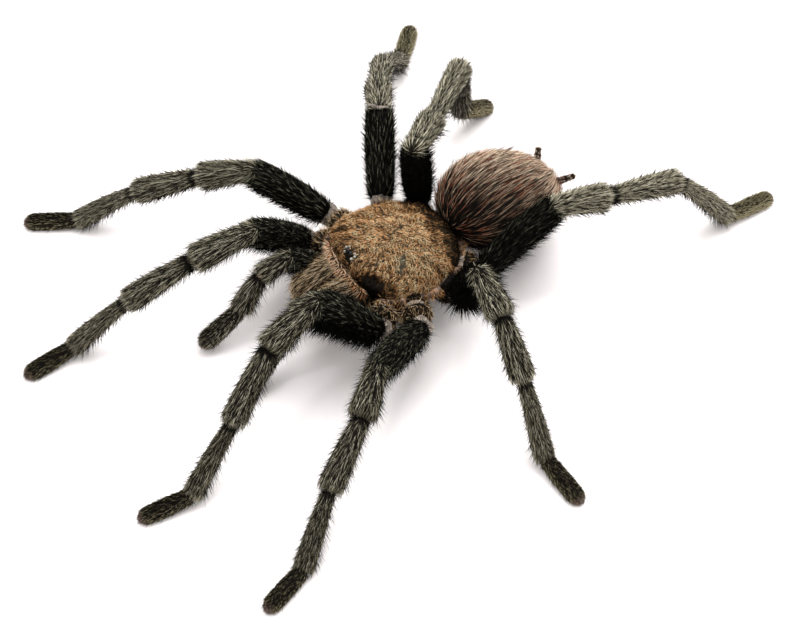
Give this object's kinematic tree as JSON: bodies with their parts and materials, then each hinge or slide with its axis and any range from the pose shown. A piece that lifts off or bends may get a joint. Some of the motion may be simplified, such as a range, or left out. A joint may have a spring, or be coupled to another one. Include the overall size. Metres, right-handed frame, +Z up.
{
  "type": "tarantula specimen",
  "caption": "Dried hairy spider set with its legs spread, standing on the flat soles of its feet, for display on a shelf or in a case.",
  "frame": {"origin": "on the ground that the feet stand on, under the middle of the specimen's footprint", "axes": "+Z up, -Y the way the head points, +X the animal's left side"},
  "size_m": [0.0896, 0.1086, 0.0212],
  "materials": {
    "carapace_hair": "short golden brown hair lying flat on a dark hard plate",
    "abdomen_hair": "long dark and rust brown hair swept backwards",
    "leg_hair": "grey brown hair swept along a dark tube",
    "femur_hair": "velvety black hair",
    "foot_hair": "short dense black brown velvet",
    "fang_horn": "smooth black horn"
  },
  "bodies": {
    "root": {"cephalothorax": "carapace_hair", "abdomen": "abdomen_hair", "chelicera_right": "carapace_hair", "chelicera_left": "carapace_hair", "fang_right": "fang_horn", "fang_left": "fang_horn", "spinneret_long_right": "abdomen_hair", "spinneret_long_left": "abdomen_hair", "spinneret_short_right": "abdomen_hair", "spinneret_short_left": "abdomen_hair", "leg_1_right_femur": "femur_hair", "leg_1_right_patella": "leg_hair", "leg_1_right_tibia": "leg_hair", "leg_1_right_metatarsus": "leg_hair", "leg_1_right_tarsus": "foot_hair", "leg_2_right_femur": "femur_hair", "leg_2_right_patella": "leg_hair", "leg_2_right_tibia": "leg_hair", "leg_2_right_metatarsus": "leg_hair", "leg_2_right_tarsus": "foot_hair", "leg_3_right_femur": "femur_hair", "leg_3_right_patella": "leg_hair", "leg_3_right_tibia": "leg_hair", "leg_3_right_metatarsus": "leg_hair", "leg_3_right_tarsus": "foot_hair", "leg_4_right_femur": "femur_hair", "leg_4_right_patella": "leg_hair", "leg_4_right_tibia": "leg_hair", "leg_4_right_metatarsus": "leg_hair", "leg_4_right_tarsus": "foot_hair", "leg_1_left_femur": "femur_hair", "leg_1_left_patella": "leg_hair", "leg_1_left_tibia": "leg_hair", "leg_1_left_metatarsus": "leg_hair", "leg_1_left_tarsus": "foot_hair", "leg_2_left_femur": "femur_hair", "leg_2_left_patella": "leg_hair", "leg_2_left_tibia": "leg_hair", "leg_2_left_metatarsus": "leg_hair", "leg_2_left_tarsus": "foot_hair", "leg_3_left_femur": "femur_hair", "leg_3_left_patella": "leg_hair", "leg_3_left_tibia": "leg_hair", "leg_3_left_metatarsus": "leg_hair", "leg_3_left_tarsus": "foot_hair", "leg_4_left_femur": "femur_hair", "leg_4_left_patella": "leg_hair", "leg_4_left_tibia": "leg_hair", "leg_4_left_metatarsus": "leg_hair", "leg_4_left_tarsus": "foot_hair", "palp_right_femur": "femur_hair", "palp_right_patella": "leg_hair", "palp_right_tibia": "leg_hair", "palp_right_tarsus": "foot_hair", "palp_left_femur": "femur_hair", "palp_left_patella": "leg_hair", "palp_left_tibia": "leg_hair", "palp_left_tarsus": "foot_hair"}
  },
  "joints": []
}
